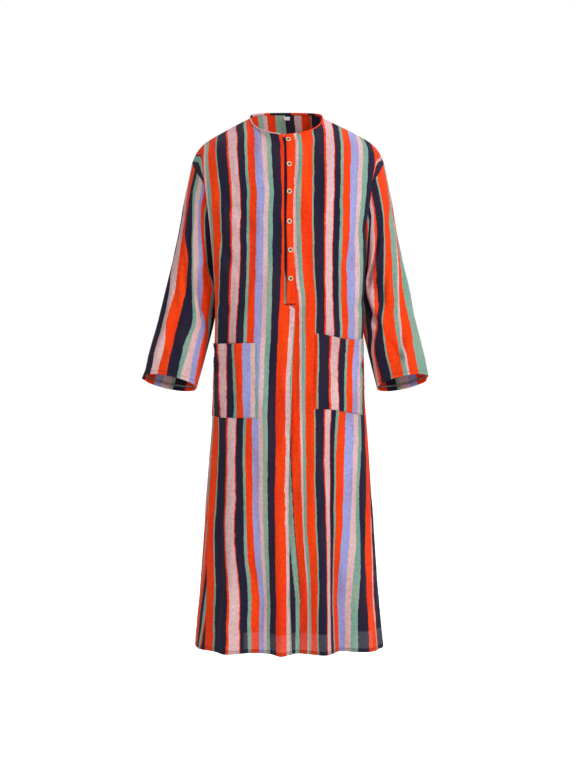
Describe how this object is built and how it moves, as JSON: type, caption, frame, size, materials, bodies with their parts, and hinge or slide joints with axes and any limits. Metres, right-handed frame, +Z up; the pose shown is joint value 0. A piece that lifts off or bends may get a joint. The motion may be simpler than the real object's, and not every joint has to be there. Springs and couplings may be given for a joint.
{
  "type": "thobe",
  "caption": "Long collarless long-sleeved garment in striped cotton, hollow as worn, with a half placket, patch pockets and a centre pleat.",
  "frame": {"origin": "midway between the two high shoulder points, where the wearer's shoulders carry the garment", "axes": "+Z up, -Y towards the garment's front, +X towards the wearer's left"},
  "size_m": [0.708, 0.321, 1.3391],
  "materials": {
    "striped_cloth": "matte crinkled cotton gauze, hand-painted stripes",
    "binding": "matte cotton binding",
    "button": "satin shell-coloured button",
    "label": "bare satin tape"
  },
  "bodies": {
    "root": {"front_panel": "striped_cloth", "back_panel": "striped_cloth", "sleeve_left": "striped_cloth", "sleeve_right": "striped_cloth", "pocket_left": "striped_cloth", "pocket_right": "striped_cloth", "placket_over": "striped_cloth", "placket_under": "striped_cloth", "neck_binding": "binding", "neck_label": "label", "button_1": "button", "button_2": "button", "button_3": "button", "button_4": "button", "button_5": "button", "button_6": "button"}
  },
  "joints": []
}
